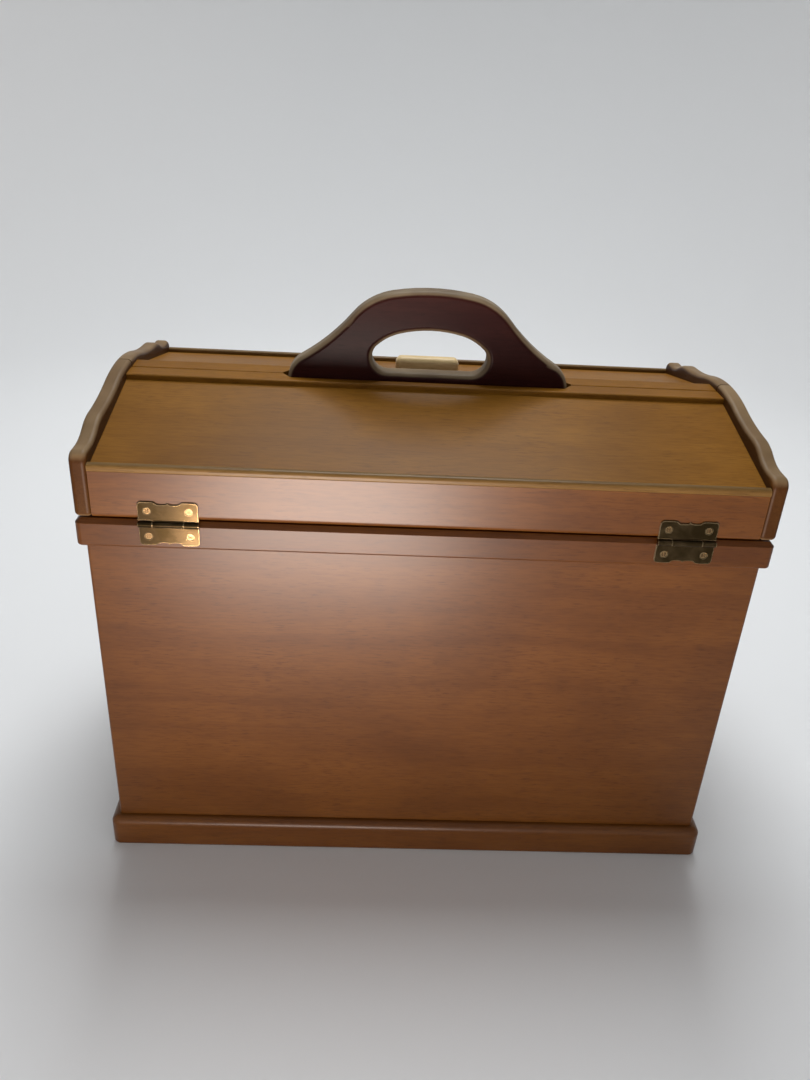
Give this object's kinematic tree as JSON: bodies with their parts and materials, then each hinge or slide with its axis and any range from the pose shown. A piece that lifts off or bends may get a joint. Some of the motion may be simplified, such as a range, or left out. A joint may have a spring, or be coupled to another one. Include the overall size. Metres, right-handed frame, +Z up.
{
  "type": "chip rack",
  "caption": "Wooden carrying case for gaming chips: two-leaf lid on small brass hinges, centre board rising as the handle, and a fluted lift-out chip tray on each side.",
  "frame": {"origin": "middle of the plinth's underside", "axes": "+X to the right along the case's length, -Y towards the front, +Z up"},
  "size_m": [0.4534, 0.2598, 0.4022],
  "materials": {
    "case_wood": "satin lacquer over red-brown stain",
    "lid_wood": "satin lacquer over golden-brown stain",
    "handle_wood": "satin lacquer over dark stain",
    "tray_wood": "thin satin lacquer",
    "hinge_brass": "antiqued, lightly polished",
    "screw_brass": "antiqued"
  },
  "bodies": {
    "case": {"plinth_front": "case_wood", "plinth_rear": "case_wood", "plinth_left": "case_wood", "plinth_right": "case_wood", "bottom_panel": "case_wood", "front_wall": "case_wood", "rear_wall": "case_wood", "left_wall": "case_wood", "right_wall": "case_wood", "rim_front": "case_wood", "rim_rear": "case_wood", "rim_left": "case_wood", "rim_right": "case_wood", "centre_board": "handle_wood", "front_wall_cleat": "case_wood", "front_board_cleat": "case_wood", "rear_wall_cleat": "case_wood", "rear_board_cleat": "case_wood", "front_left_hinge_fixed_plate": "hinge_brass", "front_left_hinge_pin": "hinge_brass", "front_right_hinge_fixed_plate": "hinge_brass", "front_right_hinge_pin": "hinge_brass", "front_rim_screws": "screw_brass", "rear_left_hinge_fixed_plate": "hinge_brass", "rear_left_hinge_pin": "hinge_brass", "rear_right_hinge_fixed_plate": "hinge_brass", "rear_right_hinge_pin": "hinge_brass", "rear_rim_screws": "screw_brass"},
    "front_leaf": {"front_leaf_skirt": "case_wood", "front_leaf_bead": "lid_wood", "front_leaf_left_end": "case_wood", "front_leaf_right_end": "case_wood", "front_leaf_slope_panel": "lid_wood", "front_leaf_ridge_rail": "lid_wood", "front_left_hinge_moving_plate": "hinge_brass", "front_right_hinge_moving_plate": "hinge_brass", "front_leaf_screws": "screw_brass"},
    "rear_leaf": {"rear_leaf_skirt": "case_wood", "rear_leaf_bead": "lid_wood", "rear_leaf_left_end": "case_wood", "rear_leaf_right_end": "case_wood", "rear_leaf_slope_panel": "lid_wood", "rear_leaf_ridge_rail": "lid_wood", "rear_leaf_finger_pull": "lid_wood", "rear_left_hinge_moving_plate": "hinge_brass", "rear_right_hinge_moving_plate": "hinge_brass", "rear_leaf_screws": "screw_brass"},
    "front_tray": {"front_tray_base": "tray_wood", "front_tray_flutes": "tray_wood", "front_tray_left_end": "tray_wood", "front_tray_right_end": "tray_wood", "front_tray_wall_board": "tray_wood", "front_tray_centre_side_board": "tray_wood"},
    "rear_tray": {"rear_tray_base": "tray_wood", "rear_tray_flutes": "tray_wood", "rear_tray_left_end": "tray_wood", "rear_tray_right_end": "tray_wood", "rear_tray_wall_board": "tray_wood", "rear_tray_centre_side_board": "tray_wood"}
  },
  "joints": [
    {"name": "front_leaf_hinge", "type": "hinge", "parent": "case", "child": "front_leaf", "pos_m": [0, -0.1278, 0.2766], "axis": [1, 0, 0], "range_deg": [0, 180]},
    {"name": "rear_leaf_hinge", "type": "hinge", "parent": "case", "child": "rear_leaf", "pos_m": [0, 0.1278, 0.2766], "axis": [-1, 0, 0], "range_deg": [0, 180]},
    {"name": "front_tray_lift", "type": "slide", "parent": "case", "child": "front_tray", "axis": [0, 0, 1], "range_m": [0, 0.04]},
    {"name": "rear_tray_lift", "type": "slide", "parent": "case", "child": "rear_tray", "axis": [0, 0, 1], "range_m": [0, 0.04]}
  ]
}
